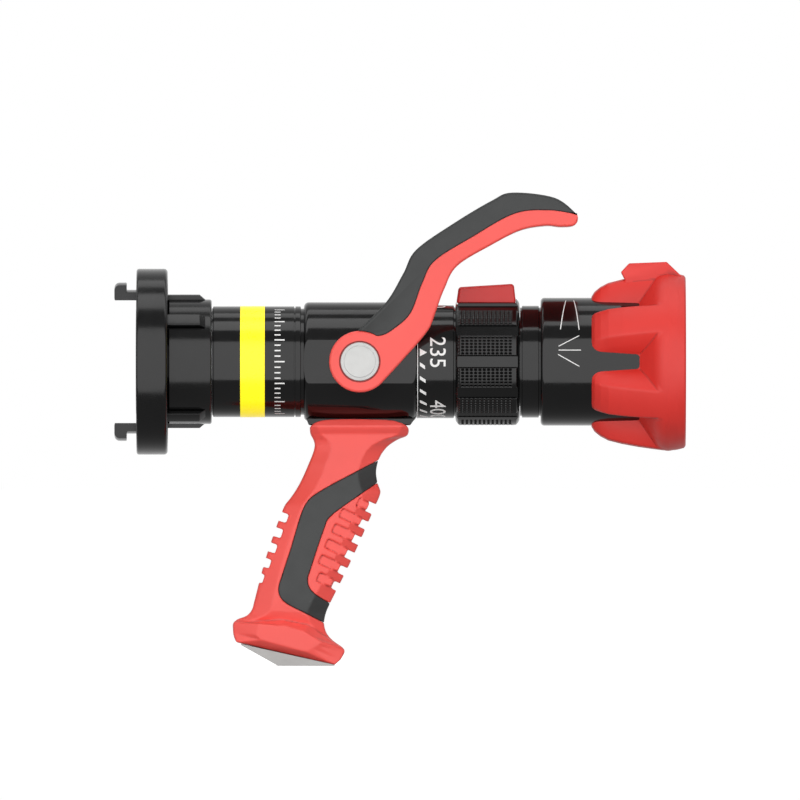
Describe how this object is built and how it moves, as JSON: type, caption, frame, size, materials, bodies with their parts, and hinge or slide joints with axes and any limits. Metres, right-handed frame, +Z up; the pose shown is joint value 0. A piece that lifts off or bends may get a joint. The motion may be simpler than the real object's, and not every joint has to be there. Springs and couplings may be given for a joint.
{
  "type": "fire hose nozzle",
  "caption": "Pistol-grip fog and jet nozzle for fire hose, with lugged inlet coupling, bail-lever ball valve, knurled flow ring and twist spray sleeve.",
  "frame": {"origin": "centre of the hose coupling's front face, on the waterway's axis", "axes": "+X along the flow, from the hose coupling to the mouth; +Z up, from the grip to the lever"},
  "size_m": [0.3072, 0.1, 0.2543],
  "materials": {
    "coupling_black": "satin",
    "body_black": "gloss",
    "knurl_black": "satin",
    "soft_grey": "matt",
    "red_plastic": "satin",
    "tab_red": "satin",
    "bumper_red": "satin",
    "band_yellow": "gloss",
    "cap_silver": "brushed",
    "foot_grey": "satin",
    "steel": "bright",
    "alloy": "anodised",
    "seal_rubber": "matt",
    "seat_plastic": "smooth",
    "teeth_plastic": "smooth",
    "bush_brass": "plain"
  },
  "bodies": {
    "nozzle": {"coupling_tail": "alloy", "coupling_seal": "seal_rubber", "snap_ring": "steel", "debris_screen": "steel", "inlet_tube": "body_black", "colour_band": "band_yellow", "inlet_seal": "seal_rubber", "valve_body": "body_black", "inlet_seat": "seat_plastic", "outlet_seat": "seat_plastic", "seat_spring": "steel", "stem_bushes": "bush_brass", "outlet_barrel": "body_black", "barrel_seal": "seal_rubber", "flow_scale_ring": "body_black", "detent_ball": "steel", "detent_spring": "steel", "front_barrel": "body_black", "guide_pins": "steel", "shaper_seal": "seal_rubber", "stem_guide": "alloy", "guide_bush": "bush_brass", "grip_shell": "red_plastic", "grip_insert": "soft_grey", "grip_bolt": "steel", "grip_washer": "steel", "grip_end_cap": "foot_grey"},
    "coupling": {"lug_ring": "coupling_black", "ring_hub": "coupling_black"},
    "lever": {"lever_frame": "red_plastic", "lever_pad": "soft_grey", "lever_screws": "steel", "lever_caps": "cap_silver", "valve_stems": "steel", "stem_seals": "seal_rubber", "valve_ball": "steel"},
    "flow_setting": {"flow_ring": "knurl_black", "flow_tab": "tab_red"},
    "baffle_group": {"baffle_stem": "steel", "baffle": "alloy", "baffle_screw": "steel"},
    "shaper": {"stream_shaper": "body_black", "teeth_retainer": "steel"},
    "twist_sleeve": {"pattern_sleeve": "body_black", "bumper": "bumper_red"},
    "teeth_ring": {"spinning_teeth": "teeth_plastic"}
  },
  "joints": [
    {"name": "coupling_turn", "type": "hinge", "parent": "nozzle", "child": "coupling", "pos_m": [0.02, 0, 0], "axis": [1, 0, 0], "continuous": true},
    {"name": "lever_swing", "type": "hinge", "parent": "nozzle", "child": "lever", "pos_m": [0.1201, 0, 0], "axis": [0, -1, 0], "range_deg": [0, 90]},
    {"name": "flow_turn", "type": "hinge", "parent": "nozzle", "child": "flow_setting", "pos_m": [0.18875, 0, 0], "axis": [1, 0, 0], "range_deg": [-78, 156]},
    {"name": "baffle_slide", "type": "slide", "parent": "nozzle", "child": "baffle_group", "axis": [1, 0, 0], "range_m": [-0.0011, 0.0021]},
    {"name": "pattern_slide", "type": "slide", "parent": "nozzle", "child": "shaper", "axis": [1, 0, 0], "range_m": [-0.0101, 0]},
    {"name": "pattern_turn", "type": "hinge", "parent": "shaper", "child": "twist_sleeve", "pos_m": [0.25, 0, 0], "axis": [1, 0, 0], "range_deg": [0, 120]},
    {"name": "teeth_spin", "type": "hinge", "parent": "shaper", "child": "teeth_ring", "pos_m": [0.2875, 0, 0], "axis": [1, 0, 0], "continuous": true}
  ],
  "couplings": [
    {"joint": "baffle_slide", "follows": "flow_turn", "m_per_rad": 0.0007346},
    {"joint": "pattern_slide", "follows": "pattern_turn", "m_per_rad": -0.0047746}
  ]
}
